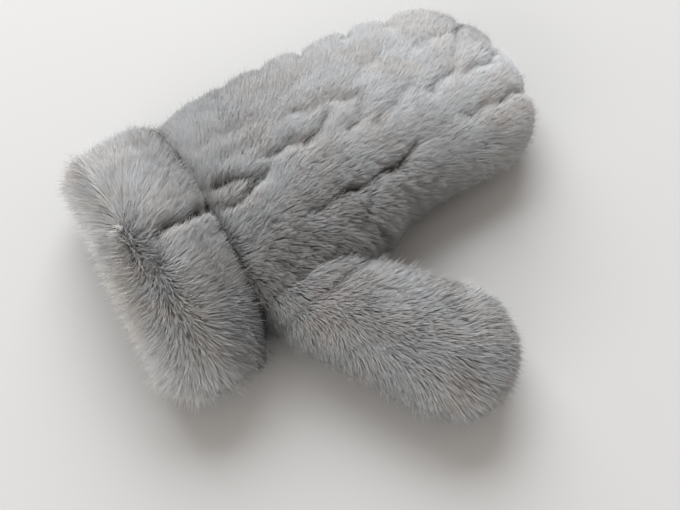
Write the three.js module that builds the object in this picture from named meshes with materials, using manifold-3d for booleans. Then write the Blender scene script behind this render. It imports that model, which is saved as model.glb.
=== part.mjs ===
// A plush mitten lying palm down, its thumb spread to one side.
// Millimetres. X runs from the cuff's mouth to the fingertips, with 0 on the wrist seam before the last shift.
// Y runs across the hand, away from the thumb. Z is up, with 0 on the surface that the mitten lies on.
//
// Each panel is one solid: a backing cloth round the hollow for the hand, with the deep pile fused to it.
// The pile's outer form is carved into overlapping locks, parted by the folds in the tables below.

import * as THREE from 'three';
import { mergeVertices } from 'three/addons/utils/BufferGeometryUtils.js';
import Module from 'manifold-3d';

const wasm = await Module();
wasm.setup();

// Driving dimensions
const SEAM_GAP = 0.3;
const SIDE_SEAM_HEIGHT = 21;
const BACKING = 3;
const PILE_AT_SIDE = 15;
const PILE_ABOVE = 10;
const PILE_BELOW = 8;
const SETTLED = 2.5;

const HAND_LENGTH = 208;
const HAND_TIP_FROM = 160;
const HAND_TIP_BLUNTNESS = 2.8;
const CUFF_LENGTH = 50;
const SEAM_ROUNDING = 9;
const SEAM_FULLNESS = 0.45;
const RIM_ROUNDING = 14;

const THUMB_ANGLE = THREE.MathUtils.degToRad(-52);
const THUMB_ROOT = { x: 15, y: -44 };
const THUMB_LENGTH = 122;
const THUMB_TIP_FROM = 88;
const THUMB_TIP_BLUNTNESS = 2.6;
const THUMB_HOLLOW_HALF = 15;
const THUMB_HOLLOW_FROM = -16;

// How full the outline of a section is: 1 is an ellipse, less is squarer
const SIDE_FULLNESS = 0.9;
const BACK_FULLNESS = 0.88;
const PALM_FULLNESS = 0.8;

// Cross-sections. at: place along the axis, centre: sideways middle, half: half width, top: height of the back
const HAND_SECTIONS = [
  { at: 0, centre: 4.5, half: 70.5, top: 50 },
  { at: 25, centre: 5.5, half: 77.5, top: 53 },
  { at: 50, centre: 10.5, half: 77, top: 54 },
  { at: 75, centre: 17, half: 73.5, top: 54 },
  { at: 100, centre: 21.5, half: 69, top: 52 },
  { at: 130, centre: 25.5, half: 68, top: 49 },
  { at: 160, centre: 25, half: 67, top: 46 },
  { at: 208, centre: 27, half: 60, top: 43 },
];
const CUFF_SECTIONS = [
  { at: -50, centre: -2, half: 74, top: 48 },
  { at: -42, centre: -2.5, half: 78, top: 53 },
  { at: -28, centre: -3, half: 80.5, top: 56 },
  { at: -12, centre: -0.5, half: 78.5, top: 55 },
  { at: 0, centre: 3.5, half: 71.5, top: 51 },
];
const THUMB_SECTIONS = [
  { at: -20, centre: 0, half: 23, top: 40 },
  { at: 0, centre: 0, half: 24, top: 40 },
  { at: 32, centre: 0.5, half: 28.5, top: 43 },
  { at: 64, centre: 0, half: 32, top: 44 },
  { at: 94, centre: -1, half: 34.5, top: 42 },
  { at: 122, centre: -2, half: 34, top: 40 },
];

// Folds carved into the pile, seen from above. from, to: ends, depth: how deep, reach: how far its slopes reach
const HAND_FOLDS = [
  // The groove along the middle, stepped where one lock tucks under the next
  { from: [6, 5], to: [33, -1], depth: 7, reach: 10 },
  { from: [4, -9], to: [20, -8], depth: 6, reach: 10 },
  { from: [20, -8], to: [33, -1], depth: 7, reach: 10 },
  { from: [38, 6], to: [48, 9], depth: 5, reach: 11 },
  { from: [51, 10], to: [60, 5], depth: 5, reach: 11 },
  { from: [60, 5], to: [78, 16], depth: 7, reach: 12 },
  { from: [83, 1], to: [95, 9], depth: 6, reach: 11 },
  { from: [95, 9], to: [101, 18], depth: 6, reach: 11 },
  { from: [101, 1], to: [115, 9], depth: 5, reach: 12 },
  { from: [115, 9], to: [133, 17], depth: 5, reach: 12 },
  // The groove on the thumb's side, and the locks that fan out from it
  { from: [42, -29], to: [60, -29], depth: 5.5, reach: 13 },
  { from: [60, -29], to: [80, -28], depth: 7, reach: 13 },
  { from: [80, -28], to: [96, -25], depth: 7, reach: 13 },
  { from: [96, -25], to: [113, -19], depth: 7, reach: 13 },
  { from: [113, -19], to: [134, -15], depth: 4, reach: 12 },
  { from: [80, -29], to: [73, -36], depth: 6, reach: 12 },
  { from: [73, -36], to: [64, -48], depth: 7, reach: 12 },
  { from: [31, -61], to: [46, -59], depth: 6, reach: 11 },
  { from: [46, -59], to: [56, -54], depth: 6, reach: 11 },
  { from: [20, -51], to: [34, -46], depth: 4, reach: 11 },
  { from: [8, -34], to: [18, -29], depth: 3.5, reach: 11 },
  { from: [102, -11], to: [110, -17], depth: 3.5, reach: 10 },
  { from: [142, -36], to: [158, -33], depth: 4, reach: 11 },
  // The softer grooves on the far side
  { from: [8, 34], to: [44, 33], depth: 3.5, reach: 14 },
  { from: [19, 18], to: [37, 16], depth: 4, reach: 11 },
  { from: [60, 27], to: [80, 25], depth: 4.5, reach: 12 },
  { from: [80, 25], to: [102, 23], depth: 5, reach: 12 },
  { from: [60, 40], to: [86, 52], depth: 3.5, reach: 13 },
  { from: [106, 34], to: [134, 50], depth: 4, reach: 13 },
  // The fingertips, where the locks fan out over the edge
  { from: [140, 9], to: [163, 18], depth: 6.5, reach: 12 },
  { from: [163, 18], to: [178, 37], depth: 5.5, reach: 12 },
  { from: [178, 37], to: [210, 70], depth: 5.5, reach: 12 },
  { from: [152, 45], to: [177, 47], depth: 5, reach: 12 },
  { from: [166, 12], to: [190, 17], depth: 6.5, reach: 12 },
  { from: [190, 17], to: [214, 38], depth: 6.5, reach: 12 },
  { from: [151, -13], to: [174, -12], depth: 6, reach: 12 },
  { from: [174, -12], to: [214, -4], depth: 6, reach: 12 },
  // Notches along the far edge
  { from: [36, 66], to: [52, 92], depth: 3.5, reach: 11 },
  { from: [62, 70], to: [80, 98], depth: 4.5, reach: 12 },
  { from: [89, 70], to: [107, 98], depth: 5, reach: 12 },
  { from: [124, 74], to: [142, 102], depth: 5.5, reach: 12 },
  { from: [150, 70], to: [167, 100], depth: 5, reach: 12 },
  // Notches along the near edge
  { from: [96, -58], to: [116, -36], depth: 4, reach: 12 },
  { from: [36, -84], to: [52, -66], depth: 4, reach: 12 },
];
const CUFF_FOLDS = [
  // The parting between the two blocks of the cuff's back, and the rim band beside the nearer one
  { from: [2, -6], to: [-14, -10], depth: 7, reach: 12 },
  { from: [-14, -10], to: [-30, -14], depth: 7, reach: 12 },
  { from: [-30, -14], to: [-35, -37], depth: 6, reach: 12 },
  { from: [-35, -37], to: [-38, -84], depth: 5, reach: 12 },
  { from: [-10, 46], to: [-34, 54], depth: 3, reach: 13 },
];
const THUMB_FOLDS = [
  // Along the thumb's own axis. The second number is sideways from that axis. The first is beside the hand
  { from: [14, -26], to: [28, -4], depth: 5, reach: 11 },
  { from: [28, -4], to: [40, 20], depth: 6, reach: 12 },
  { from: [48, 10], to: [72, 3], depth: 3.5, reach: 13 },
  { from: [74, 14], to: [98, 6], depth: 3.5, reach: 13 },
  { from: [62, -16], to: [88, -20], depth: 3, reach: 13 },
];
const SEAM_PARTING = 3;
const SEAM_PARTING_REACH = 7;

// Grid of each outer form: divisions round it and along it, and the share of the round on the back
const HAND_GRID = { around: 56, along: 44, backShare: 0.68 };
const CUFF_GRID = { around: 58, along: 13, backShare: 0.62 };
const THUMB_GRID = { around: 30, along: 21, backShare: 0.6 };
const HOLLOW_GRID = { around: 20, along: 18, backShare: 0.5 };
const THUMB_HOLLOW_GRID = { around: 14, along: 10, backShare: 0.5 };
const START_CROWDING = 1.3;

function smooth(share) {
  return share * share * (3 - 2 * share);
}

// The section at one place along a table, eased between its rows. pile is how much of the pile stands there
function sectionAt(table, at) {
  const last = table.length - 1;
  let row = 0;
  while (row < last - 1 && at > table[row + 1].at) {
    row += 1;
  }
  const before = table[row];
  const after = table[row + 1];
  const share = smooth(THREE.MathUtils.clamp((at - before.at) / (after.at - before.at), 0, 1));
  return {
    centre: THREE.MathUtils.lerp(before.centre, after.centre, share),
    half: THREE.MathUtils.lerp(before.half, after.half, share),
    top: THREE.MathUtils.lerp(before.top, after.top, share),
    low: -SETTLED,
    pile: 1,
  };
}

// How far a rounded end has closed, from 1 before it to 0 at its pole
function tipShare(at, from, end, bluntness) {
  const gone = THREE.MathUtils.clamp((at - from) / (end - from), 0, 1);
  return Math.pow(1 - Math.pow(gone, bluntness), 1 / bluntness);
}

// How far an edge has swelled from its seam, from 0 on the seam to 1 past the rounding
function swelling(distance, rounding) {
  const short = 1 - THREE.MathUtils.clamp(distance / rounding, 0, 1);
  return Math.sqrt(1 - short * short);
}

// The pile at the wrist seam already leans out over it, so the crease between cuff and hand is narrow
function seamSwelling(distance) {
  return SEAM_FULLNESS + (1 - SEAM_FULLNESS) * swelling(distance, SEAM_ROUNDING);
}

function blendSections(narrow, full, share) {
  return {
    centre: THREE.MathUtils.lerp(narrow.centre, full.centre, share),
    half: THREE.MathUtils.lerp(narrow.half, full.half, share),
    top: THREE.MathUtils.lerp(narrow.top, full.top, share),
    low: THREE.MathUtils.lerp(narrow.low, full.low, share),
    pile: THREE.MathUtils.lerp(narrow.pile, full.pile, share),
  };
}

// The hollow inside a section, with walls of backing and pile round it
function hollowOf(section, half) {
  return {
    centre: section.centre,
    half,
    top: section.top - BACKING - PILE_ABOVE,
    low: BACKING + PILE_BELOW,
    pile: 0,
  };
}

function grown(section, by) {
  return {
    centre: section.centre,
    half: section.half + by,
    top: section.top + by,
    low: section.low - by,
    pile: section.pile,
  };
}

function narrowed(section, share) {
  return {
    centre: section.centre,
    half: section.half * share,
    top: SIDE_SEAM_HEIGHT + (section.top - SIDE_SEAM_HEIGHT) * share,
    low: SIDE_SEAM_HEIGHT + (section.low - SIDE_SEAM_HEIGHT) * share,
    pile: section.pile * share,
  };
}

function handHollow(at) {
  const section = sectionAt(HAND_SECTIONS, Math.max(at, 0));
  return hollowOf(section, section.half - BACKING - PILE_AT_SIDE);
}

function handOuter(at) {
  const full = sectionAt(HAND_SECTIONS, at);
  const closing = tipShare(at, HAND_TIP_FROM, HAND_LENGTH, HAND_TIP_BLUNTNESS);
  const seamed = grown(handHollow(at), BACKING);
  return blendSections(seamed, narrowed(full, closing), seamSwelling(at));
}

function mouthHollow() {
  const section = sectionAt(CUFF_SECTIONS, -CUFF_LENGTH);
  return hollowOf(section, section.half - BACKING - PILE_AT_SIDE);
}

function cuffOuter(at) {
  const full = sectionAt(CUFF_SECTIONS, at);
  const seamed = grown(handHollow(0), BACKING);
  const rim = grown(mouthHollow(), BACKING);
  const fromSeam = seamSwelling(-at);
  const fromRim = swelling(at + CUFF_LENGTH, RIM_ROUNDING);
  return fromSeam < fromRim ? blendSections(seamed, full, fromSeam) : blendSections(rim, full, fromRim);
}

function thumbOuter(at) {
  const full = sectionAt(THUMB_SECTIONS, at);
  return narrowed(full, tipShare(at, THUMB_TIP_FROM, THUMB_LENGTH, THUMB_TIP_BLUNTNESS));
}

// A point of a section's outline. turn is 0 on the +Y side and half a turn on the other, over the back
function outlinePoint(section, turn) {
  const across = Math.cos(turn);
  const up = Math.sin(turn);
  const y = section.centre + section.half * Math.sign(across) * Math.pow(Math.abs(across), SIDE_FULLNESS);
  if (up >= 0) {
    return { y, z: SIDE_SEAM_HEIGHT + (section.top - SIDE_SEAM_HEIGHT) * Math.pow(up, BACK_FULLNESS) };
  }
  return { y, z: SIDE_SEAM_HEIGHT - (SIDE_SEAM_HEIGHT - section.low) * Math.pow(-up, PALM_FULLNESS) };
}

function outlineNormal(section, turn) {
  const step = 0.02;
  const before = outlinePoint(section, turn - step);
  const after = outlinePoint(section, turn + step);
  const length = Math.hypot(after.y - before.y, after.z - before.z);
  return { y: (after.z - before.z) / length, z: (before.y - after.y) / length };
}

function distanceToFold(fold, x, y) {
  const alongX = fold.to[0] - fold.from[0];
  const alongY = fold.to[1] - fold.from[1];
  const share = ((x - fold.from[0]) * alongX + (y - fold.from[1]) * alongY) / (alongX * alongX + alongY * alongY);
  const held = THREE.MathUtils.clamp(share, 0, 1);
  return Math.hypot(x - fold.from[0] - held * alongX, y - fold.from[1] - held * alongY);
}

// How far the carved pile lies below its full height. Each fold is a dip between two domed locks
function carving(folds, x, y, z) {
  let depth = 0;
  for (const fold of folds) {
    const near = 1 - distanceToFold(fold, x, y) / fold.reach;
    if (near > 0) {
      depth = Math.max(depth, fold.depth * smooth(near));
    }
  }
  const parting = 1 - Math.abs(z - SIDE_SEAM_HEIGHT) / SEAM_PARTING_REACH;
  if (parting > 0) {
    depth = Math.max(depth, SEAM_PARTING * parting * parting);
  }
  return depth * smooth(THREE.MathUtils.clamp(z / SIDE_SEAM_HEIGHT, 0, 1));
}

// A closed cylinder whose every point is moved to its place on the form
function moulded(grid, place) {
  const geometry = new THREE.CylinderGeometry(1, 1, 1, grid.around, grid.along);
  const position = geometry.attributes.position;
  for (let i = 0; i < position.count; i += 1) {
    const radial = Math.hypot(position.getX(i), position.getZ(i));
    const round = (Math.atan2(position.getX(i), position.getZ(i)) / (2 * Math.PI) + 1) % 1;
    const onBack = round < grid.backShare;
    const back = (Math.PI * round) / grid.backShare;
    const palm = Math.PI + (Math.PI * (round - grid.backShare)) / (1 - grid.backShare);
    const point = place(position.getY(i) + 0.5, onBack ? back : palm, radial < 0.5);
    position.setXYZ(i, point.x, point.y, point.z);
  }
  geometry.deleteAttribute('normal');
  geometry.deleteAttribute('uv');
  return mergeVertices(geometry);
}

function solid(geometry) {
  const vertProperties = Float32Array.from(geometry.attributes.position.array);
  const triVerts = Uint32Array.from(geometry.index.array);
  return new wasm.Manifold(new wasm.Mesh({ numProp: 3, vertProperties, triVerts }));
}

// The point of a carved form. An end cap's middle is its section's own middle, pushed out by bulge
function carvedPoint(section, folds, at, turn, isMiddle, bulge) {
  if (isMiddle) {
    return { x: at + bulge, y: section.centre, z: (section.top + Math.max(section.low, 0)) / 2 };
  }
  const point = outlinePoint(section, turn);
  const normal = outlineNormal(section, turn);
  const depth = carving(folds, at, point.y, point.z) * section.pile;
  return { x: at, y: point.y - normal.y * depth, z: Math.max(point.z - normal.z * depth, 0) };
}

// Places along a form that closes in a rounded end, closer together towards its pole and at its start
function placeAlong(share, start, roundFrom, end, roundShare) {
  if (share <= 1 - roundShare) {
    return THREE.MathUtils.lerp(start, roundFrom, Math.pow(share / (1 - roundShare), START_CROWDING));
  }
  const round = (share - 1 + roundShare) / roundShare;
  return THREE.MathUtils.lerp(roundFrom, end, Math.sin(round * Math.PI * 0.46));
}

const TIP_SHARE = 0.3;
const TIP_BULGE = 0.8;

function handForm(grow) {
  return solid(moulded(HAND_GRID, (share, turn, isMiddle) => {
    const at = placeAlong(share, SEAM_GAP / 2, HAND_TIP_FROM, HAND_LENGTH, TIP_SHARE);
    const bulge = share > 0.5 ? TIP_BULGE : 0;
    return carvedPoint(grown(handOuter(at), grow), HAND_FOLDS, at, turn, isMiddle, bulge);
  }));
}

function cuffForm() {
  return solid(moulded(CUFF_GRID, (share, turn, isMiddle) => {
    const eased = (1 - Math.cos(share * Math.PI)) / 2;
    const at = THREE.MathUtils.lerp(-CUFF_LENGTH, -SEAM_GAP / 2, (share + eased) / 2);
    return carvedPoint(cuffOuter(at), CUFF_FOLDS, at, turn, isMiddle, 0);
  }));
}

function fromThumb(point) {
  return {
    x: THUMB_ROOT.x + point.x * Math.cos(THUMB_ANGLE) - point.y * Math.sin(THUMB_ANGLE),
    y: THUMB_ROOT.y + point.x * Math.sin(THUMB_ANGLE) + point.y * Math.cos(THUMB_ANGLE),
    z: point.z,
  };
}

function thumbForm() {
  return solid(moulded(THUMB_GRID, (share, turn, isMiddle) => {
    const at = placeAlong(share, THUMB_SECTIONS[0].at, THUMB_TIP_FROM, THUMB_LENGTH, TIP_SHARE);
    const bulge = share > 0.5 ? TIP_BULGE : 0;
    return fromThumb(carvedPoint(thumbOuter(at), THUMB_FOLDS, at, turn, isMiddle, bulge));
  }));
}

// The hollow for the fingers, open past the cuff's mouth
const HOLLOW_TIP = HAND_LENGTH - BACKING - PILE_AT_SIDE;
const HOLLOW_TIP_FROM = HOLLOW_TIP - 36;
const MOUTH_OVERRUN = 12;
const MOUTH_FLARE = 20;

function handHollowForm() {
  return solid(moulded(HOLLOW_GRID, (share, turn, isMiddle) => {
    const at = placeAlong(share, -CUFF_LENGTH - MOUTH_OVERRUN, HOLLOW_TIP_FROM, HOLLOW_TIP, TIP_SHARE);
    const open = at < 0 ? blendSections(handHollow(0), mouthHollow(), smooth(Math.min(-at / MOUTH_FLARE, 1)))
      : handHollow(at);
    const section = narrowed(open, tipShare(at, HOLLOW_TIP_FROM, HOLLOW_TIP, HAND_TIP_BLUNTNESS));
    return carvedPoint(section, [], at, turn, isMiddle, 0);
  }));
}

function thumbHollowForm() {
  const end = THUMB_LENGTH - BACKING - PILE_AT_SIDE;
  const roundFrom = end - 22;
  return solid(moulded(THUMB_HOLLOW_GRID, (share, turn, isMiddle) => {
    const at = placeAlong(share, THUMB_HOLLOW_FROM, roundFrom, end, TIP_SHARE);
    const open = hollowOf(sectionAt(THUMB_SECTIONS, at), THUMB_HOLLOW_HALF);
    const section = narrowed(open, tipShare(at, roundFrom, end, THUMB_TIP_BLUNTNESS));
    return fromThumb(carvedPoint(section, [], at, turn, isMiddle, 0));
  }));
}

// A block that takes away all on one side of a level or upright cut
const BLOCK = 1000;

function block(x, y, z) {
  const geometry = new THREE.BoxGeometry(BLOCK, BLOCK, BLOCK);
  geometry.translate(x, y, z);
  geometry.deleteAttribute('normal');
  geometry.deleteAttribute('uv');
  return solid(mergeVertices(geometry));
}

const hollow = handHollowForm().add(thumbHollowForm());
const hand = handForm(0).subtract(hollow);
const cuff = cuffForm().subtract(hollow);
const beforeSeam = block(SEAM_GAP / 2 - BLOCK / 2, 0, 0);
const thumb = thumbForm().subtract(handForm(SEAM_GAP)).subtract(beforeSeam).subtract(hollow);

const aboveSeam = block(0, 0, SIDE_SEAM_HEIGHT + SEAM_GAP / 2 + BLOCK / 2);
const belowSeam = block(0, 0, SIDE_SEAM_HEIGHT - SEAM_GAP / 2 - BLOCK / 2);

const fur = new THREE.MeshStandardMaterial({ color: 0xa3a7ac, roughness: 0.95, metalness: 0 });

const PANELS = [
  ['hand_back', hand.intersect(aboveSeam)],
  ['hand_palm', hand.intersect(belowSeam)],
  ['thumb_back', thumb.intersect(aboveSeam)],
  ['thumb_palm', thumb.intersect(belowSeam)],
  ['cuff_back', cuff.intersect(aboveSeam)],
  ['cuff_palm', cuff.intersect(belowSeam)],
];

// The middle of the whole's footprint along one side, 0 for X and 1 for Y
function footprintMiddle(side) {
  const lowest = Math.min(...PANELS.map(([, panel]) => panel.boundingBox().min[side]));
  const highest = Math.max(...PANELS.map(([, panel]) => panel.boundingBox().max[side]));
  return (lowest + highest) / 2;
}

const mitten = new THREE.Group();
for (const [name, panel] of PANELS) {
  const shape = panel.getMesh();
  const geometry = new THREE.BufferGeometry();
  geometry.setAttribute('position', new THREE.BufferAttribute(shape.vertProperties, 3));
  geometry.setIndex(new THREE.BufferAttribute(shape.triVerts, 1));
  geometry.computeVertexNormals();
  const mesh = new THREE.Mesh(geometry, fur);
  mesh.name = name;
  mitten.add(mesh);
}
mitten.position.set(-footprintMiddle(0), -footprintMiddle(1), 0);

export default mitten;
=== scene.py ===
import math

import bmesh
import bpy
import numpy as np
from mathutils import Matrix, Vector


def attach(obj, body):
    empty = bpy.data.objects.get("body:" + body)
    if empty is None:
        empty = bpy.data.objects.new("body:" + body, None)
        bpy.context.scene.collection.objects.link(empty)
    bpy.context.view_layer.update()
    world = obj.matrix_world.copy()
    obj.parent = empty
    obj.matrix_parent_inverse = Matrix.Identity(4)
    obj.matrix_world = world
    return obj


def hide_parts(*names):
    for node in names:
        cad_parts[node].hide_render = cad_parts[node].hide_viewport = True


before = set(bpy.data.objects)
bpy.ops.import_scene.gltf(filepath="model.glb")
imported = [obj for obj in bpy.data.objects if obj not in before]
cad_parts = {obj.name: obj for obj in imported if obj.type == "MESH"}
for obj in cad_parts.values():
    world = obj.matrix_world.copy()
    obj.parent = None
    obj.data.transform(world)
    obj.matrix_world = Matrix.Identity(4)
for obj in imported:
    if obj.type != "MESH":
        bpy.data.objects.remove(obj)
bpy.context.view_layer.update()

# The camera
# A hand-held look down on the back of the mitten from the thumb's side, with the fingertips at the upper
# right. It stands where the picture's own perspective puts it, a forearm's length away.
IMAGE_WIDE = 680
FOCUS_PIXELS = 729
SENSOR_WIDTH = 36
LOOK_AT = Vector((-0.02846, -0.01959, 0.026))
LOOK_AZIMUTH = math.radians(-30)
LOOK_ELEVATION = math.radians(58)
LOOK_DISTANCE = 0.370

camera_data = bpy.data.cameras.new("camera")
camera_data.sensor_width = SENSOR_WIDTH
camera_data.lens = SENSOR_WIDTH * FOCUS_PIXELS / IMAGE_WIDE
camera_data.clip_start = 0.01
camera = bpy.data.objects.new("camera", camera_data)
bpy.context.scene.collection.objects.link(camera)
look_from = Vector((
    math.sin(LOOK_AZIMUTH) * math.cos(LOOK_ELEVATION),
    -math.cos(LOOK_AZIMUTH) * math.cos(LOOK_ELEVATION),
    math.sin(LOOK_ELEVATION),
))
camera.location = LOOK_AT + look_from * LOOK_DISTANCE
camera.rotation_euler = (-look_from).to_track_quat("-Z", "Y").to_euler()
bpy.context.scene.camera = camera

# The hand's backing
# The pouch for the fingers: soft backing cloth, padded out by its own pile and pressed flat where it lies.
# It is sewn along both sides and round the fingertips, and it is hollow, open to the cuff and the thumb.

# Sizes here and below are in millimetres from the wrist seam, and become metres as each mesh is made
FOOTPRINT_MIDDLE = np.array([79.211, -29.35, 0])
SEAM_GAP = 0.3
SIDE_SEAM_HEIGHT = 21
BACKING = 3
PILE_AT_SIDE = 15
PILE_ABOVE = 10
PILE_BELOW = 8
SETTLED = 2.5
HAND_LENGTH = 208
HAND_TIP_FROM = 160
HAND_TIP_BLUNTNESS = 2.8
SEAM_ROUNDING = 9
SEAM_FULLNESS = 0.58
SIDE_FULLNESS = 0.9
BACK_FULLNESS = 0.88
PALM_FULLNESS = 0.8
FOLD_IN_BACKING = 0.55
FOLD_WAVER = 1.2
CREASE_WIDE = 5
CREASE_FROM_DEPTH = 3.5
CREASE_FULL_DEPTH = 7.5
CREASE_MOST = 1.6
ROOTS_BELOW = 5
ROOTS_OVER_FLOOR = 1.2
# How finely the backing is made. A rounded end gets the round share of the rows, which stop near its pole
HAND_ROWS = 104
BACKING_COLUMNS = 150
ROUND_SHARE = 0.3
NEAR_POLE = 0.49

HAND_SECTIONS = [
    {"at": 0, "centre": 4.5, "half": 70.5, "top": 50},
    {"at": 25, "centre": 5.5, "half": 77.5, "top": 53},
    {"at": 50, "centre": 10.5, "half": 77, "top": 54},
    {"at": 75, "centre": 17, "half": 73.5, "top": 54},
    {"at": 100, "centre": 21.5, "half": 69, "top": 52},
    {"at": 130, "centre": 25.5, "half": 68, "top": 49},
    {"at": 160, "centre": 25, "half": 67, "top": 46},
    {"at": 208, "centre": 27, "half": 60, "top": 43},
]
HAND_FOLDS = [
    # The groove along the middle, stepped where one lock tucks under the next
    {"from": (6, 5), "to": (33, -1), "depth": 8, "reach": 9},
    {"from": (4, -9), "to": (20, -8), "depth": 7, "reach": 9},
    {"from": (20, -8), "to": (33, -1), "depth": 9, "reach": 9},
    {"from": (38, 6), "to": (48, 9), "depth": 7.5, "reach": 10},
    {"from": (51, 10), "to": (60, 5), "depth": 6.5, "reach": 10},
    {"from": (60, 5), "to": (78, 16), "depth": 8, "reach": 11},
    {"from": (83, 1), "to": (95, 9), "depth": 6, "reach": 10},
    {"from": (95, 9), "to": (101, 18), "depth": 6, "reach": 10},
    {"from": (101, 1), "to": (115, 9), "depth": 5, "reach": 11},
    {"from": (115, 9), "to": (133, 17), "depth": 5, "reach": 11},
    # The groove on the thumb's side, and the locks that fan out from it
    {"from": (42, -31), "to": (60, -29), "depth": 6.5, "reach": 12},
    {"from": (60, -29), "to": (80, -28), "depth": 8, "reach": 12},
    {"from": (80, -28), "to": (96, -25), "depth": 9, "reach": 12},
    {"from": (96, -25), "to": (113, -19), "depth": 9, "reach": 12},
    {"from": (113, -19), "to": (134, -15), "depth": 4, "reach": 11},
    {"from": (80, -29), "to": (73, -36), "depth": 6, "reach": 11},
    {"from": (73, -36), "to": (64, -48), "depth": 7, "reach": 11},
    {"from": (31, -61), "to": (46, -59), "depth": 6, "reach": 10},
    {"from": (46, -59), "to": (56, -54), "depth": 6, "reach": 10},
    {"from": (20, -51), "to": (34, -46), "depth": 4, "reach": 10},
    {"from": (8, -34), "to": (18, -29), "depth": 3.5, "reach": 10},
    {"from": (102, -11), "to": (110, -17), "depth": 3.5, "reach": 9},
    {"from": (142, -36), "to": (158, -33), "depth": 4, "reach": 10},
    # The softer grooves on the far side
    {"from": (8, 34), "to": (44, 33), "depth": 3.5, "reach": 13},
    {"from": (19, 18), "to": (37, 16), "depth": 4, "reach": 10},
    {"from": (60, 27), "to": (80, 25), "depth": 4.5, "reach": 11},
    {"from": (80, 25), "to": (102, 23), "depth": 5, "reach": 11},
    {"from": (60, 40), "to": (86, 52), "depth": 3.5, "reach": 12},
    {"from": (106, 34), "to": (134, 50), "depth": 4, "reach": 12},
    # The fingertips, where the locks fan out over the edge
    {"from": (140, 9), "to": (163, 18), "depth": 6.5, "reach": 11},
    {"from": (163, 18), "to": (178, 37), "depth": 5.5, "reach": 11},
    {"from": (178, 37), "to": (210, 70), "depth": 8, "reach": 11},
    {"from": (152, 45), "to": (177, 47), "depth": 5, "reach": 11},
    {"from": (166, 12), "to": (190, 17), "depth": 6.5, "reach": 11},
    {"from": (190, 17), "to": (214, 38), "depth": 9, "reach": 11},
    {"from": (151, -13), "to": (174, -12), "depth": 6, "reach": 11},
    {"from": (174, -12), "to": (214, -4), "depth": 8, "reach": 11},
    # Notches along the far edge
    {"from": (36, 66), "to": (52, 92), "depth": 5.5, "reach": 10},
    {"from": (62, 70), "to": (80, 98), "depth": 7, "reach": 11},
    {"from": (89, 70), "to": (107, 98), "depth": 8, "reach": 11},
    {"from": (124, 74), "to": (142, 102), "depth": 8.5, "reach": 11},
    {"from": (150, 70), "to": (167, 100), "depth": 8, "reach": 11},
    # Notches along the near edge
    {"from": (96, -58), "to": (116, -36), "depth": 4, "reach": 11},
    {"from": (36, -84), "to": (52, -66), "depth": 4, "reach": 11},
]


def eased(share):
    return share * share * (3 - 2 * share)


def easing(values, start, end):
    """0 up to the start, 1 from the end on, and smooth between. The end may be the lower of the two."""
    return eased(np.clip((values - start) / (end - start), 0, 1))


def mixed(one, other, share):
    return one + (other - one) * share


def section_at(table, at):
    """Centre, half width, top, low and share of the pile, at each place along a table."""
    rows = np.array([[row["at"], row["centre"], row["half"], row["top"]] for row in table], float)
    before = np.clip(np.searchsorted(rows[:, 0], at) - 1, 0, len(rows) - 2)
    share = eased(np.clip((at - rows[before, 0]) / (rows[before + 1, 0] - rows[before, 0]), 0, 1))
    centre, half, top = mixed(rows[before].T, rows[before + 1].T, share)[1:]
    return np.array([centre, half, top, np.full_like(centre, -SETTLED), np.ones_like(centre)])


def tip_share(at, start, end, bluntness):
    gone = np.clip((at - start) / (end - start), 0, 1)
    return (1 - gone**bluntness) ** (1 / bluntness)


def swelling(distance, rounding):
    short = 1 - np.clip(distance / rounding, 0, 1)
    return np.sqrt(1 - short**2)


def seam_swelling(distance):
    return SEAM_FULLNESS + (1 - SEAM_FULLNESS) * swelling(distance, SEAM_ROUNDING)


def narrowed(section, share):
    centre, half, top, low, pile = section
    return np.array([
        centre,
        half * share,
        SIDE_SEAM_HEIGHT + (top - SIDE_SEAM_HEIGHT) * share,
        SIDE_SEAM_HEIGHT + (low - SIDE_SEAM_HEIGHT) * share,
        pile * share,
    ])


def hollow_of(section, half):
    centre, _, top, _, _ = section
    return np.array([
        centre,
        centre * 0 + half,
        top - BACKING - PILE_ABOVE,
        np.full_like(centre, BACKING + PILE_BELOW),
        np.zeros_like(centre),
    ])


def grown(section, by):
    return section + np.array([0, by, by, -by, 0])[:, None]


def hand_hollow(at):
    section = section_at(HAND_SECTIONS, np.maximum(at, 0))
    return hollow_of(section, section[1] - BACKING - PILE_AT_SIDE)


def hand_outer(at):
    closing = tip_share(at, HAND_TIP_FROM, HAND_LENGTH, HAND_TIP_BLUNTNESS)
    full = narrowed(section_at(HAND_SECTIONS, at), closing)
    return mixed(grown(hand_hollow(at), BACKING), full, seam_swelling(at))


def outline(section, turn):
    """A point on each section's outline. turn runs from the far side over the back to the near side."""
    centre, half, top, low, _ = section
    across = np.cos(turn)
    up = np.sin(turn)
    y = centre + half * np.sign(across) * np.abs(across) ** SIDE_FULLNESS
    back = SIDE_SEAM_HEIGHT + (top - SIDE_SEAM_HEIGHT) * np.abs(up) ** BACK_FULLNESS
    palm = SIDE_SEAM_HEIGHT - (SIDE_SEAM_HEIGHT - low) * np.abs(up) ** PALM_FULLNESS
    return y, np.where(up >= 0, back, palm)


def wavering(along, across, short_wave, long_wave):
    return FOLD_WAVER * np.sin(along / short_wave + 2 * np.sin(across / long_wave))


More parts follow.
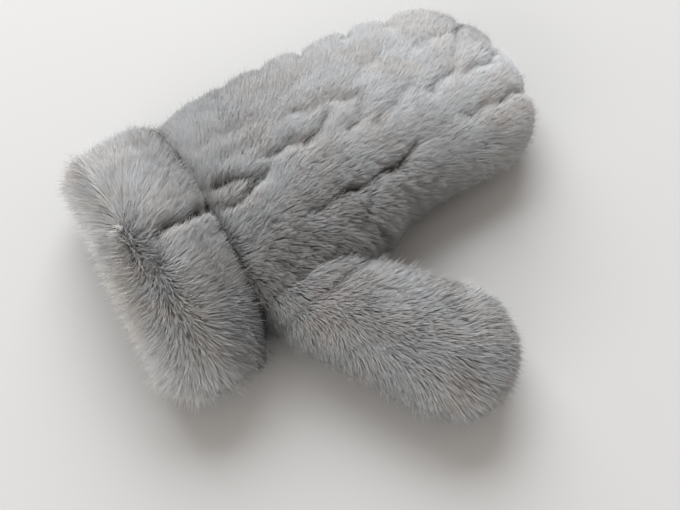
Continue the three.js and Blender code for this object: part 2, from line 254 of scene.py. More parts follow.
def carved(folds, x, y):
    """How deep the folds are at each place seen from above, and how strong the creases in them are there."""
    x_off = wavering(y, x, short_wave=4.1, long_wave=8)
    y_off = wavering(x, y, short_wave=3.7, long_wave=9)
    x, y = x + x_off, y + y_off
    depth = np.zeros_like(x)
    crease = np.zeros_like(x)
    for fold in folds:
        start = np.array(fold["from"], float)
        run = np.array(fold["to"], float) - start
        held = np.clip(((x - start[0]) * run[0] + (y - start[1]) * run[1]) / (run @ run), 0, 1)
        away = np.hypot(x - start[0] - held * run[0], y - start[1] - held * run[1])
        near = np.clip(1 - away / fold["reach"], 0, 1)
        depth = np.maximum(depth, fold["depth"] * (1 - np.sqrt(1 - near**2)))
        strong = (fold["depth"] - CREASE_FROM_DEPTH) / (CREASE_FULL_DEPTH - CREASE_FROM_DEPTH)
        strong = np.clip(strong, 0, CREASE_MOST)
        crease = np.maximum(crease, strong * np.clip(1 - away / CREASE_WIDE, 0, 1))
    return depth, crease


def facing(rings):
    """The outward normals of rings of places, each ring closed round."""
    wide = np.concatenate([rings[:, -1:], rings, rings[:, :1]], 1)
    normal = np.cross(wide[:, 2:] - wide[:, :-2], np.gradient(rings, axis=0))
    return normal / np.maximum(np.linalg.norm(normal, axis=2, keepdims=True), 1e-9)


def skin(shape, places_along, columns, inset):
    """Rings of places on a form's carved backing, the bare form's normals, its own, and its creases."""
    turn = np.arange(columns) / columns * 2 * math.pi
    at, turn = [x.ravel() for x in np.meshgrid(places_along, turn, indexing="ij")]
    section = shape["outer"](at)
    y, z = outline(section, turn)
    bare = np.stack([at, y, z], 1).reshape(-1, columns, 3)
    bare_normal = facing(bare)
    depth, crease = carved(shape["folds"], at, y)
    fading = easing(z, 0, SIDE_SEAM_HEIGHT)
    below = depth * fading * FOLD_IN_BACKING * np.sqrt(section[4]) + inset * section[4]
    rings = bare - bare_normal * below.reshape(-1, columns, 1)
    rings[:, :, 2] = np.maximum(rings[:, :, 2], ROOTS_OVER_FLOOR if inset else 0)
    return rings, bare_normal, facing(rings), (crease * fading * section[4]).reshape(-1, columns)


def along_form(rows, start, round_from, end):
    """Places along a form that closes in a rounded end, closer together towards its pole."""
    share = np.linspace(0, 1, rows)
    straight = mixed(start, round_from, share / (1 - ROUND_SHARE))
    round_end = mixed(round_from, end, np.sin((share - 1 + ROUND_SHARE) / ROUND_SHARE * math.pi * NEAR_POLE))
    return np.where(share <= 1 - ROUND_SHARE, straight, round_end)


def moulded(name, rings):
    """A closed form: a flat grid, with its points moved to the rings and its edges and ends sewn up."""
    rows, columns, _ = rings.shape
    form = bmesh.new()
    bmesh.ops.create_grid(form, x_segments=columns, y_segments=rows + 1, size=0.5)
    ends = [np.broadcast_to(rings[row].mean(0), (1, columns, 3)) for row in (0, -1)]
    places = np.concatenate([ends[0], rings, ends[1]])
    for point in form.verts:
        column = round((point.co.x + 0.5) * columns) % columns
        row = round((point.co.y + 0.5) * (rows + 1))
        point.co = (places[row, column] - FOOTPRINT_MIDDLE) / 1000
    bmesh.ops.remove_doubles(form, verts=form.verts, dist=1e-6)
    bmesh.ops.recalc_face_normals(form, faces=form.faces)
    mesh = bpy.data.meshes.new(name)
    form.to_mesh(mesh)
    form.free()
    piece = bpy.data.objects.new(name, mesh)
    bpy.context.scene.collection.objects.link(piece)
    return piece


def cut_away(piece, *cutters):
    """Takes the cutters' forms out of a piece, for good."""
    for cutter in cutters:
        cut = piece.modifiers.new("cut", "BOOLEAN")
        cut.operation = "DIFFERENCE"
        cut.solver = "MANIFOLD"
        cut.object = cutter
        view = bpy.context.evaluated_depsgraph_get()
        done = bpy.data.meshes.new_from_object(piece.evaluated_get(view))
        piece.modifiers.clear()
        piece.data = done


HAND = {"outer": hand_outer, "folds": HAND_FOLDS}
# The hollow runs from past the cuff's mouth to the fingertips, so the cuff's and thumb's sizes stand here
HOLLOW_TIP = HAND_LENGTH - BACKING - PILE_AT_SIDE
HOLLOW_TIP_FROM = HOLLOW_TIP - 36
HOLLOW_ROWS = 60
HOLLOW_COLUMNS = 72
MOUTH_OVERRUN = 12
MOUTH_FLARE = 20
CUFF_LENGTH = 50
CUFF_SECTIONS = [
    {"at": -50, "centre": -2, "half": 74, "top": 48},
    {"at": -42, "centre": -2.5, "half": 78, "top": 53},
    {"at": -28, "centre": -3, "half": 80.5, "top": 56},
    {"at": -12, "centre": -0.5, "half": 78.5, "top": 55},
    {"at": 0, "centre": 3.5, "half": 71.5, "top": 51},
]
THUMB_ANGLE = math.radians(-52)
THUMB_ROOT = np.array([15, -44, 0])
THUMB_TURN = np.array([
    [math.cos(THUMB_ANGLE), math.sin(THUMB_ANGLE), 0],
    [-math.sin(THUMB_ANGLE), math.cos(THUMB_ANGLE), 0],
    [0, 0, 1],
])
THUMB_LENGTH = 122
THUMB_TIP_FROM = 88
THUMB_TIP_BLUNTNESS = 2.6
THUMB_HOLLOW_HALF = 15
THUMB_HOLLOW_FROM = -16
THUMB_HOLLOW_END = THUMB_LENGTH - BACKING - PILE_AT_SIDE
THUMB_HOLLOW_TIP_FROM = THUMB_HOLLOW_END - 22
THUMB_HOLLOW_ROWS = 30
THUMB_HOLLOW_COLUMNS = 40
THUMB_SECTIONS = [
    {"at": -20, "centre": 0, "half": 23, "top": 40},
    {"at": 0, "centre": 0, "half": 24, "top": 40},
    {"at": 32, "centre": 0.5, "half": 28.5, "top": 43},
    {"at": 64, "centre": 0, "half": 32, "top": 44},
    {"at": 94, "centre": -1, "half": 34.5, "top": 42},
    {"at": 122, "centre": -2, "half": 34, "top": 40},
]


def mouth_hollow(at):
    section = section_at(CUFF_SECTIONS, at * 0 - CUFF_LENGTH)
    return hollow_of(section, section[1] - BACKING - PILE_AT_SIDE)


def fingers_hollow(at):
    flared = mixed(hand_hollow(at * 0), mouth_hollow(at), easing(at, 0, -MOUTH_FLARE))
    return narrowed(
        np.where(at < 0, flared, hand_hollow(at)),
        tip_share(at, HOLLOW_TIP_FROM, HOLLOW_TIP, HAND_TIP_BLUNTNESS),
    )


def thumb_hollow(at):
    return narrowed(
        hollow_of(section_at(THUMB_SECTIONS, at), THUMB_HOLLOW_HALF),
        tip_share(at, THUMB_HOLLOW_TIP_FROM, THUMB_HOLLOW_END, THUMB_TIP_BLUNTNESS),
    )


def in_thumb(rings):
    return THUMB_ROOT + rings @ THUMB_TURN


def smooth_rings(outer, rows, columns, start, round_from, end):
    along = along_form(rows, start, round_from, end)
    return skin({"outer": outer, "folds": []}, along, columns, 0)[0]


hollow_start = -CUFF_LENGTH - MOUTH_OVERRUN
hollow = moulded("hollow", smooth_rings(
    fingers_hollow, HOLLOW_ROWS, HOLLOW_COLUMNS, hollow_start, HOLLOW_TIP_FROM, HOLLOW_TIP
))
thumb_bore = moulded("thumb_bore", in_thumb(smooth_rings(
    thumb_hollow, THUMB_HOLLOW_ROWS, THUMB_HOLLOW_COLUMNS,
    THUMB_HOLLOW_FROM, THUMB_HOLLOW_TIP_FROM, THUMB_HOLLOW_END,
)))

hand_along = along_form(HAND_ROWS, SEAM_GAP / 2, HAND_TIP_FROM, HAND_LENGTH)
hand_backing = moulded("hand_backing", skin(HAND, hand_along, BACKING_COLUMNS, ROOTS_BELOW)[0])
cut_away(hand_backing, hollow, thumb_bore)


def colour(seen_as):
    """A linear colour from one as it is seen on a screen."""
    seen = np.array([int(seen_as[i:i + 2], 16) for i in (0, 2, 4)]) / 255
    return (*np.where(seen <= 0.04045, seen / 12.92, ((seen + 0.055) / 1.055) ** 2.4), 1)


def node(tree, kind, inputs, **settings):
    """A new node in a tree, with its settings made and its inputs set, or linked from the sockets given."""
    new = tree.nodes.new(kind)
    for label, value in settings.items():
        setattr(new, label, value)
    for socket, source in inputs.items():
        if isinstance(source, bpy.types.NodeSocket):
            tree.links.new(source, new.inputs[socket])
        else:
            new.inputs[socket].default_value = source
    return new


# The knitted backing shows only as a dull dark ground between the fibres, and plainly inside the hollow
backing_cloth = bpy.data.materials.new("backing cloth")
backing_cloth.use_nodes = True
cloth = backing_cloth.node_tree
cloth_shader = cloth.nodes["Principled BSDF"]
cloth_shader.inputs["Roughness"].default_value = 0.95
cloth_shader.inputs["Specular IOR Level"].default_value = 0.1
cloth_place = node(cloth, "ShaderNodeTexCoord", {})
knit = node(cloth, "ShaderNodeTexNoise", {
    "Vector": cloth_place.outputs["Object"], "Scale": 900, "Detail": 3,
})
knit_tint = node(cloth, "ShaderNodeValToRGB", {"Fac": knit.outputs["Fac"]})
knit_tint.color_ramp.elements[0].color = colour("605b58")
knit_tint.color_ramp.elements[1].color = colour("86837f")
knit_raised = node(cloth, "ShaderNodeBump", {
    "Height": knit.outputs["Fac"], "Strength": 0.4, "Distance": 0.0006,
})
cloth.links.new(knit_tint.outputs["Color"], cloth_shader.inputs["Base Color"])
cloth.links.new(knit_raised.outputs["Normal"], cloth_shader.inputs["Normal"])


def finish_backing(piece, *nodes):
    piece.data.materials.clear()
    piece.data.materials.append(backing_cloth)
    piece.data.shade_smooth()
    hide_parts(*nodes)
    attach(piece, "root")


finish_backing(hand_backing, "hand_back", "hand_palm")

# The hand's pile
# Thick soft pile, brushed towards the fingertips and out over the edges, in tufts that cling together.
# Each fibre stands in the backing, leans over, and narrows to a point. It is short beside the partings.
strand_form = bmesh.new()
bmesh.ops.create_cone(strand_form, cap_ends=True, segments=3, radius1=1, radius2=0, depth=1)
bmesh.ops.translate(strand_form, verts=strand_form.verts, vec=(0, 0, 0.5))
STRAND_POINTS = np.array([point.co for point in strand_form.verts])
STRAND_FACES = np.array([[point.index for point in face.verts] for face in strand_form.faces])
strand_form.free()
# A strand is a long three-sided cone, flattened, whose base has sides this long for a radius of 1
STRAND_SIDE = 1.73
STRAND_FLATNESS = 0.4
# Where a strand's points lie on its own patch of the colour map
STRAND_ON_MAP = np.array([[0.5, 0.35], [0.9, 0.05], [0.1, 0.05], [0.5, 0.95]])
# How high over the floor every point of a strand stays, and its tip
LOWEST_POINT = 0.1
LOWEST_TIP = 0.25
# Where a form faces the floor, it has this share of the full number of strands
FACING_FLOOR = -0.45
SHARE_BELOW = 0.3
WANDER_WAVES = 10
WAVE_RANGE = (0.6, 1.5)
# Large primes that stir the number of a cell into a row of the table
CELL_MIX = np.array([73856093, 19349663, 83492791])
TUFT_TABLE = 8192
# How far neighbouring fibres differ, in degrees, and over how many millimetres that drifts
HEADING_CHANCE = 6
HEADING_DRIFT = 10
HEADING_DRIFT_SIZE = 26
LEAN_CHANCE = 4
LEAN_DRIFT = 4
LEAN_DRIFT_SIZE = 13
LEAN_RANGE = (5, 86)
LENGTH_RANGE = (0.75, 1.12)
WIDTH_RANGE = (0.8, 1.25)
DROOP = 0.3
STRAY_SHARE = 0.07
STRAY_LIFT = 16
STRAY_LONGER = 0.35
STRAY_THINNER = 0.4
SMALL_TUFT = 3.4
LARGE_TUFT = 9
LARGE_TUFT_PULL = 0.3
# A fibre's own share of its tone, its small tuft's and its large tuft's
TONE_SHARES = (0.45, 0.35, 0.2)
# How narrow a parting is between headings that disagree, and the painted shade line in a crease. More is
# narrower
PARTING_SHARPNESS = 1.6
SHADE_LINE_SHARPNESS = 1.7
FIBRE_WIDE = 0.52
TONE_UNEVENNESS = 0.26
# How much the folds turn the way that fibres stand, and their shading. The rest comes from the bare form
LEANT_BY_FOLDS = 0.5
SHADED_BY_FOLDS = 0.45
# How far a fibre is shaded as the surface under it. The rest is its own upper side
SHADED_AS_SURFACE = 0.65


def wander(places, size, seed):
    """A smooth number from about -1 to 1 that changes over about this many millimetres."""
    chance = np.random.default_rng(seed)
    total = 0
    for _ in range(WANDER_WAVES):
        way = chance.normal(size=3)
        way *= chance.uniform(*WAVE_RANGE) * 2 * math.pi / size / np.linalg.norm(way)
        total = total + np.sin(places @ way + chance.uniform(0, 2 * math.pi))
    return total / math.sqrt(WANDER_WAVES)


def uneven(places, usual, spread, size, seed, least, most):
    """A number that wanders about its usual value from place to place."""
    return np.clip(usual + spread * wander(places, size, seed), least, most)


def tufts(places, size, seed):
    """The way from each place to the middle of its tuft, and a number for that tuft from 0 to 1."""
    table = np.random.default_rng(seed).random((TUFT_TABLE, 4))
    cell = np.floor(places / size).astype(np.int64)
    best = np.full(len(places), np.inf)
    way = np.zeros_like(places)
    number = np.zeros(len(places))
    for step in np.ndindex(3, 3, 3):
        near = cell + np.array(step) - 1
        stirred = near * CELL_MIX
        entry = table[(stirred[:, 0] ^ stirred[:, 1] ^ stirred[:, 2]) % TUFT_TABLE]
        middle = (near + entry[:, :3]) * size
        away = ((middle - places) ** 2).sum(1)
        closer = away < best
        best = np.where(closer, away, best)
        way = np.where(closer[:, None], middle - places, way)
        number = np.where(closer, entry[:, 3], number)
    return way, number


def unit(vectors):
    return vectors / np.maximum(np.linalg.norm(vectors, axis=1, keepdims=True), 1e-9)


def squared_to(vectors, axis):
    """What is left of vectors once their share along an axis is taken away."""
    return vectors - axis * (vectors * axis).sum(1, keepdims=True)


def within(section, y, z):
    """Whether places lie inside a section's outline."""
    centre, half, top, low, _ = section

    def share(distance, reach, fullness):
        return (np.clip(distance, 0, None) / np.maximum(reach, 0.1)) ** (2 / fullness)

    side = share(np.abs(y - centre), half, SIDE_FULLNESS)
    back = share(z - SIDE_SEAM_HEIGHT, top - SIDE_SEAM_HEIGHT, BACK_FULLNESS)
    palm = share(SIDE_SEAM_HEIGHT - z, SIDE_SEAM_HEIGHT - low, PALM_FULLNESS)
    return side + back + palm < 1


def rooted(shape, along, columns, count, seed):
    """Where the strands stand: their roots, the bare form's normals and the backing's, and the creases."""
    chance = np.random.default_rng(seed)
    rings, bare_normal, normal, crease = skin(shape, along, columns, ROOTS_BELOW)
    beside = np.roll(rings, -1, 1)
    area = np.linalg.norm(np.cross(rings[1:] - rings[:-1], beside[:-1] - rings[:-1]), axis=2)
    thinned = np.where(bare_normal[:-1, :, 2] < FACING_FLOOR, SHARE_BELOW, 1)
    weight = np.cumsum((area * thinned).ravel())
    picks = (np.arange(count) + chance.random(count)) / count * weight[-1]
    row, column = np.divmod(np.searchsorted(weight, picks).clip(0, len(weight) - 1), columns)
    after = (column + 1) % columns
    down = chance.random((count, 1))
    over = chance.random((count, 1))

    def between(values):
        values = values.reshape(len(along), columns, -1)
        return mixed(
            mixed(values[row, column], values[row + 1, column], down),
            mixed(values[row, after], values[row + 1, after], down),
            over,
        )

    return between(rings), unit(between(bare_normal)), unit(between(normal)), between(crease)[:, 0]


def brushed(table, places, along, across):
    """The headings at places on a form, from a table's rows across it and named places along it, and how
    settled they are: 1 where neighbours agree, and less where the pile parts."""
    rows = [row["across"] for row in table]
    way = 0
    for name, place in places.items():
        share = np.interp(along, list(places.values()), [float(name == other) for other in places])
        turned = np.radians([row[name] for row in table])
        way_x = np.interp(across, rows, np.cos(turned))
        way_y = np.interp(across, rows, np.sin(turned))
        way = way + share * (way_x + 1j * way_y)
    return np.degrees(np.angle(way)), np.minimum(np.abs(way) * PARTING_SHARPNESS, 1)


def crease_shading(places, crease):
    """How much painted shade darkens the creases: narrower than they are cut, and broken up along their
    length.
    """
    return crease**SHADE_LINE_SHARPNESS * uneven(places, 0.8, 0.4, size=16, seed=16, least=0.25, most=1.3)


def combed(root, normal, heading, lean, length, pull, seed, loose=1):
    """The strands' reach, width and tone. heading is the way they are brushed, seen from above, in degrees,
    pull is how far they cling together, and loose is how untidily they lie."""
    chance = np.random.default_rng(seed)
    count = len(root)
    heading = heading + loose * chance.normal(0, HEADING_CHANCE, count)
    heading = np.radians(heading + HEADING_DRIFT * wander(root, HEADING_DRIFT_SIZE, seed + 1))
    over = np.stack([np.cos(heading), np.sin(heading), np.full(count, -DROOP)], 1)
    over = unit(squared_to(over, normal))
    stray = chance.random(count) < STRAY_SHARE * loose
    lean = lean + loose * chance.normal(0, LEAN_CHANCE, count)
    lean = lean + LEAN_DRIFT * wander(root, LEAN_DRIFT_SIZE, seed + 2) - STRAY_LIFT * stray
    lean = np.radians(np.clip(lean, *LEAN_RANGE))[:, None]
    length = length * chance.uniform(*LENGTH_RANGE, count) * (1 + STRAY_LONGER * stray)
    way, number = tufts(root, SMALL_TUFT, seed + 3)
    wide_way, wide_number = tufts(root, LARGE_TUFT, seed + 4)
    pull = np.broadcast_to(pull, count)[:, None]
    way = squared_to(way * pull + wide_way * pull * LARGE_TUFT_PULL, normal)
    reach = (normal * np.cos(lean) + over * np.sin(lean)) * length[:, None] + way
    reach[:, 2] = np.maximum(reach[:, 2], LOWEST_TIP - root[:, 2])
    own_share, small_share, large_share = TONE_SHARES
    tone = own_share * chance.random(count) + small_share * number + large_share * wide_number
    width = FIBRE_WIDE * chance.uniform(*WIDTH_RANGE, count) * (1 - STRAY_THINNER * stray)
    return reach, width, tone


def pile(name, root, reach, normal, width, tone, crease):
    """Joins copies of the strand into one piece. It keeps how far along its strand each point is, its tone,
    which carries painted light and shade, and how much painted shade its crease gives it."""
    count = len(root)
    corners = len(STRAND_POINTS)
    length = np.linalg.norm(reach, axis=1, keepdims=True)
    axis = reach / length
    up = unit(squared_to(normal, axis))
    across = np.cross(axis, up)
    points = (
        root[:, None]
        + across[:, None] * (STRAND_POINTS[:, :1] * width[:, None, None] / STRAND_SIDE)
        - up[:, None] * (STRAND_POINTS[:, 1:2] * width[:, None, None] * STRAND_FLATNESS)
        + axis[:, None] * (STRAND_POINTS[:, 2:] * length[:, None])
    )
    points[:, :, 2] = np.maximum(points[:, :, 2], LOWEST_POINT)
    faces = (STRAND_FACES + np.arange(count)[:, None, None] * corners).ravel()
    mesh = bpy.data.meshes.new(name)
    mesh.vertices.add(count * corners)
    mesh.vertices.foreach_set("co", ((points - FOOTPRINT_MIDDLE) / 1000).astype(np.float32).ravel())
    mesh.loops.add(len(faces))
    mesh.loops.foreach_set("vertex_index", faces.astype(np.int32))
    mesh.polygons.add(len(faces) // 3)
    mesh.polygons.foreach_set("loop_start", np.arange(0, len(faces), 3, dtype=np.int32))
    mesh.update(calc_edges=True)
    kept = {
        "along": np.tile(STRAND_POINTS[:, 2], count),
        "tone": np.repeat(tone, corners),
        "crease": np.repeat(crease, corners),
    }
    for label, values in kept.items():
        mesh.attributes.new(label, "FLOAT", "POINT").data.foreach_set("value", values.astype(np.float32))
    squares = math.ceil(math.sqrt(count))
    corner = np.stack([np.arange(count) % squares, np.arange(count) // squares], 1)
    on_map = ((corner[:, None] + STRAND_ON_MAP) / squares).reshape(-1, 2)
    mesh.uv_layers.new(name="OFBake").uv.foreach_set("vector", on_map[faces].astype(np.float32).ravel())
    mesh.shade_smooth()
    shaded = unit(mixed(up, normal, SHADED_AS_SURFACE))
    mesh.normals_split_custom_set_from_vertices(np.repeat(shaded, corners, 0))
    piece = bpy.data.objects.new(name, mesh)
    bpy.context.scene.collection.objects.link(piece)
    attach(piece, "root")
    return piece


# How a fibre's colour runs from its shaded root to its tip, from tuft to tuft and over wide faint patches
fibre_colour = bpy.data.node_groups.new("fibre colour", "ShaderNodeTree")
for label, kind in (
    ("Along", "NodeSocketFloat"), ("Tone", "NodeSocketFloat"), ("Crease", "NodeSocketFloat"),
    ("Root", "NodeSocketColor"), ("Tip", "NodeSocketColor"), ("Warm", "NodeSocketColor"),
    ("Unevenness", "NodeSocketFloat"), ("Patches", "NodeSocketFloat"),
):
    fibre_colour.interface.new_socket(label, in_out="INPUT", socket_type=kind)
fibre_colour.interface.new_socket("Color", in_out="OUTPUT", socket_type="NodeSocketColor")
given = fibre_colour.nodes.new("NodeGroupInput").outputs
where = node(fibre_colour, "ShaderNodeTexCoord", {})
patch = node(fibre_colour, "ShaderNodeTexNoise", {
    "Vector": where.outputs["Object"], "Scale": given["Patches"], "Detail": 2,
})
warmth = node(fibre_colour, "ShaderNodeMapRange", {
    "Value": patch.outputs["Fac"], "From Min": 0.4, "From Max": 0.62,
})
tip_colour = node(fibre_colour, "ShaderNodeMix", {
    0: warmth.outputs["Result"], 6: given["Tip"], 7: given["Warm"],
}, data_type="RGBA")
rising = node(fibre_colour, "ShaderNodeMapRange", {
    "Value": given["Along"], "From Min": 0.0, "From Max": 0.5,
}, interpolation_type="SMOOTHSTEP")
# In creases and partings the root colour runs further up each fibre and the whole colour is darkened: painted
# shade
open_part = node(fibre_colour, "ShaderNodeMath", {0: 1.0, 1: given["Crease"]}, operation="SUBTRACT")
lit = node(fibre_colour, "ShaderNodeMath", {
    0: rising.outputs["Result"], 1: open_part.outputs["Value"],
}, operation="MULTIPLY")
along_colour = node(fibre_colour, "ShaderNodeMix", {
    0: lit.outputs["Value"], 6: given["Root"], 7: tip_colour.outputs[2],
}, data_type="RGBA")
off_middle = node(fibre_colour, "ShaderNodeMath", {0: given["Tone"], 1: 0.5}, operation="SUBTRACT")
shade_in_crease = node(fibre_colour, "ShaderNodeMath", {
    0: given["Crease"], 1: -0.5, 2: 1.0,
}, operation="MULTIPLY_ADD")
shade = node(fibre_colour, "ShaderNodeMath", {
    0: off_middle.outputs["Value"], 1: given["Unevenness"], 2: shade_in_crease.outputs["Value"],
}, operation="MULTIPLY_ADD")
toned = node(fibre_colour, "ShaderNodeVectorMath", {
    0: along_colour.outputs[2], "Scale": shade.outputs["Value"],
}, operation="SCALE")
handed_on = fibre_colour.nodes.new("NodeGroupOutput")
fibre_colour.links.new(toned.outputs["Vector"], handed_on.inputs["Color"])


def fibres(name, root, tip, warm, patches):
    """A matt fibre material with its own colours. A higher number makes the patches of the warm one finer."""
    material = bpy.data.materials.new(name)
    material.use_nodes = True
    tree = material.node_tree
    coloured = node(tree, "ShaderNodeGroup", {
        "Root": colour(root), "Tip": colour(tip), "Warm": colour(warm),
        "Unevenness": TONE_UNEVENNESS, "Patches": patches,
    }, node_tree=fibre_colour)
    for label in ("Along", "Tone", "Crease"):
        kept = node(tree, "ShaderNodeAttribute", {}, attribute_name=label.lower())
        tree.links.new(kept.outputs["Fac"], coloured.inputs[label])
    shader = tree.nodes["Principled BSDF"]
    shader.inputs["Roughness"].default_value = 0.8
    shader.inputs["Specular IOR Level"].default_value = 0.1
    shader.inputs["Sheen Weight"].default_value = 0.05
    shader.inputs["Sheen Roughness"].default_value = 0.5
    shader.inputs["Subsurface Weight"].default_value = 0.5
    shader.inputs["Subsurface Radius"].default_value = (1, 0.95, 0.9)
    shader.inputs["Subsurface Scale"].default_value = 0.0012
    tree.links.new(coloured.outputs["Color"], shader.inputs["Base Color"])
    return material


HAND_STRANDS = 145000
HAND_FINE_ROWS = 230
FINE_COLUMNS = 360
# How the hand is brushed, seen from above: degrees from the fingers' way, towards the far side
HAND_PLACES = {"wrist": 8, "knuckles": 60, "fingers": 115, "tips": 185}
HAND_HEADINGS = [
    {"across": -75, "wrist": -66, "knuckles": -66, "fingers": -30, "tips": -30},
    {"across": -55, "wrist": -44, "knuckles": -48, "fingers": -12, "tips": -8},
    {"across": -35, "wrist": -15, "knuckles": -25, "fingers": -4, "tips": 0},
    {"across": -10, "wrist": 12, "knuckles": 6, "fingers": 0, "tips": 8},
    {"across": 15, "wrist": 28, "knuckles": 14, "fingers": 8, "tips": 14},
    {"across": 45, "wrist": 32, "knuckles": 32, "fingers": 34, "tips": 36},
    {"across": 75, "wrist": 46, "knuckles": 42, "fingers": 42, "tips": 50},
]
HAND_LEAN = 45
HAND_FIBRE = 7.2
HAND_PULL = 0.15
NEAR_EDGE_PULL = 0.2
SHORTER_IN_CREASE = 0.45
SEAM_CREASE_AND_SHADE = 0.5
# Painted light and shade added to the fibres' tone: paler towards the fingertips and by the wrist, darker
# over the far side and the far part of the fingertips
LIGHT_PAINTED_TOWARDS_TIPS = 3
LIGHT_PAINTED_BESIDE_WRIST = 1.6
SHADE_PAINTED_ON_FAR_SIDE = 1.8
SHADE_PAINTED_ON_FINGERTIPS = 2.2
NEAR_PILE_TO = -20
FAR_PILE_FROM = 27
hand_plush = fibres("hand plush", "706c69", "a1a4a7", "a19e9c", 38)
hand_fine = along_form(HAND_FINE_ROWS, SEAM_GAP / 2, HAND_TIP_FROM, HAND_LENGTH)
root, bare_normal, normal, crease = rooted(HAND, hand_fine, FINE_COLUMNS, HAND_STRANDS, seed=11)

# No pile stands where the thumb is sewn in
beside_thumb = (root - THUMB_ROOT) @ THUMB_TURN.T
thumb_there = grown(section_at(THUMB_SECTIONS, beside_thumb[:, 0]), -ROOTS_BELOW)
under_thumb = within(thumb_there, beside_thumb[:, 1], beside_thumb[:, 2])
under_thumb &= (beside_thumb[:, 0] > 0) & (beside_thumb[:, 0] < THUMB_TIP_FROM)
root, bare_normal, normal, crease = [part[~under_thumb] for part in (root, bare_normal, normal, crease)]

along = root[:, 0]
middle = section_at(HAND_SECTIONS, along)[0]
across = root[:, 1] - middle
heading, settled = brushed(HAND_HEADINGS, HAND_PLACES, along, across)
leant = unit(mixed(bare_normal, normal, LEANT_BY_FOLDS))
hand_pull = HAND_PULL + NEAR_EDGE_PULL * easing(root[:, 1], 20, -60)
beside_seam = easing(along, SEAM_ROUNDING, 0)
# Over the near side the pile is brushed open in uneven patches: shorter, and darkened by painted shade
brushed_open_and_shaded = easing(-across, 12, 57) * uneven(root, 0.3, 0.12, size=8, seed=15, least=0, most=0.7)
brushed_open_and_shaded *= np.interp(along, [0, 20, 95, 140], [0.35, 1, 1, 0])
# Beside the seam the pile is shorter and darkened by painted shade
seam_crease_and_shade = SEAM_CREASE_AND_SHADE * beside_seam * uneven(root, 0.8, 0.5, size=22, seed=17, least=0.2, most=1.4)
seam_crease_and_shade *= np.interp(root[:, 1], [15, 50], [1, 0.15])
# Painted shade over the far part of the fingertips
tip_shade = np.interp(along, [186, 204], [0, 0.7]) * easing(across, -12, 8)
line = crease_shading(root, crease) * np.interp(along, [120, 170], [1, 0.55])
line = np.maximum.reduce([line, seam_crease_and_shade, brushed_open_and_shaded, tip_shade])
crease = np.maximum.reduce([crease, seam_crease_and_shade, brushed_open_and_shaded])
hand_lean = HAND_LEAN * settled * np.interp(along, [180, 204], [1, 1.45])
hand_fibre = HAND_FIBRE * (1 - SHORTER_IN_CREASE * crease)
reach, width, tone = combed(root, leant, heading, hand_lean, hand_fibre, hand_pull, seed=12)
# Painted light and shade in the tone: paler towards the fingertips and beside the wrist, darker over the far
# side and the fingertips' far part
tone += LIGHT_PAINTED_TOWARDS_TIPS * (along / HAND_LENGTH - 0.5)
tone -= SHADE_PAINTED_ON_FAR_SIDE * np.clip(across / 60, 0, 1)
tone -= SHADE_PAINTED_ON_FINGERTIPS * easing(along, 160, 200) * easing(across, -10, 20)
tone += LIGHT_PAINTED_BESIDE_WRIST * easing(along, 34, 0) * easing(np.abs(across), 8, 38)
shaded = unit(mixed(bare_normal, normal, SHADED_BY_FOLDS) + beside_seam[:, None] * [0, 0, 1])
near_pile = across < NEAR_PILE_TO
far_pile = across > FAR_PILE_FROM
for name, part in (
    ("hand_pile_near", near_pile), ("hand_pile_middle", ~near_pile & ~far_pile), ("hand_pile_far", far_pile),
):
    hand_pile = pile(name, root[part], reach[part], shaded[part], width[part], tone[part], line[part])
    hand_pile.data.materials.append(hand_plush)

# The thumb's backing
# A wide soft thumb sewn into the side of the hand near the wrist, blunt at its end and hollow like the hand.
# It is the same backing cloth, cut at its root to fit the hand's side. Its folds are placed along and across
# its own line, the first two beside the hand.
THUMB_ROWS = 60
THUMB_COLUMNS = 84
THUMB_FOLDS = [
    {"from": (14, -26), "to": (28, -4), "depth": 5, "reach": 10},
    {"from": (28, -4), "to": (40, 20), "depth": 6, "reach": 11},
    {"from": (48, 10), "to": (72, 3), "depth": 3.5, "reach": 12},
    {"from": (74, 14), "to": (98, 6), "depth": 3.5, "reach": 12},
    {"from": (62, -16), "to": (88, -20), "depth": 3, "reach": 12},
]


def thumb_outer(at):
    closing = tip_share(at, THUMB_TIP_FROM, THUMB_LENGTH, THUMB_TIP_BLUNTNESS)
    return narrowed(section_at(THUMB_SECTIONS, at), closing)


THUMB = {"outer": thumb_outer, "folds": THUMB_FOLDS}
thumb_along = along_form(THUMB_ROWS, THUMB_SECTIONS[0]["at"], THUMB_TIP_FROM, THUMB_LENGTH)
thumb_backing = moulded("thumb_backing", in_thumb(skin(THUMB, thumb_along, THUMB_COLUMNS, ROOTS_BELOW)[0]))
hand_block = moulded("hand_block", skin(HAND, hand_along, BACKING_COLUMNS, ROOTS_BELOW - SEAM_GAP)[0])
cut_away(thumb_backing, hand_block, hollow, thumb_bore)
finish_backing(thumb_backing, "thumb_back", "thumb_palm")

# The thumb's pile
# The same pile as the hand's, a little longer, brushed along the thumb and out over its outer edge.
# None of it stands inside the hand, where the thumb is sewn in.
THUMB_STRANDS = 36000
THUMB_PILE_FROM = -8
THUMB_FINE_ROWS = 150
THUMB_FINE_COLUMNS = 220
# Degrees from the thumb's own line, at places across it
THUMB_HEADINGS = [
    {"across": -36, "way": -22},
    {"across": -12, "way": -8},
    {"across": 8, "way": 6},
    {"across": 34, "way": 24},
]
THUMB_LEAN = 48
THUMB_FIBRE = 7.8
THUMB_PULL = 0.22
